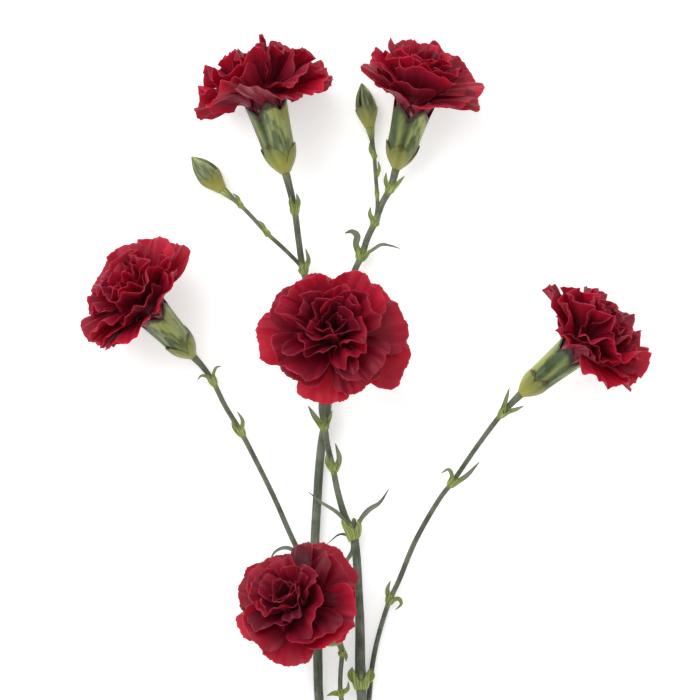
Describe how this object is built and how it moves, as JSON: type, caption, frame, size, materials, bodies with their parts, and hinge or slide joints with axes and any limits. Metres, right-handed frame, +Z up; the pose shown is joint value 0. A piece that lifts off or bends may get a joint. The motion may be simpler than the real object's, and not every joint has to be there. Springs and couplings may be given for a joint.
{
  "type": "cut carnation",
  "caption": "Cut spray carnation lying flat: one branching green stem with nodes and small leaves that ends in ruffled dark red double blooms and closed buds.",
  "frame": {"origin": "middle of the box round the whole spray, on the surface that it lies on", "axes": "+Z up from the surface, +Y from the cut end of the stem towards the top blooms, +X to the right as seen from above"},
  "size_m": [0.2108, 0.3086, 0.0626],
  "materials": {
    "petal_red": "soft velvety petals, dark crimson with paler cut edges and undersides",
    "calyx_green": "smooth green cup with fine lengthwise veins, paler at its base and brownish at its teeth",
    "stem_green": "grey-green stem and leaves with a waxy bloom, yellow-green at the swollen nodes",
    "bud_green": "smooth green bud with a waxy bloom, yellowish at its base"
  },
  "bodies": {
    "root": {"stem_main": "stem_green", "stem_top_left": "stem_green", "stem_top_right": "stem_green", "stem_left": "stem_green", "stem_right": "stem_green", "stem_lower": "stem_green", "stalk_bud_left": "stem_green", "stalk_bud_right": "stem_green", "calyx_top_left": "calyx_green", "calyx_top_right": "calyx_green", "calyx_left": "calyx_green", "calyx_right": "calyx_green", "calyx_centre": "calyx_green", "calyx_lower": "calyx_green", "petals_top_left": "petal_red", "petals_top_right": "petal_red", "petals_left": "petal_red", "petals_right": "petal_red", "petals_centre": "petal_red", "petals_lower": "petal_red", "bud_left": "bud_green", "bud_right": "bud_green"}
  },
  "joints": []
}
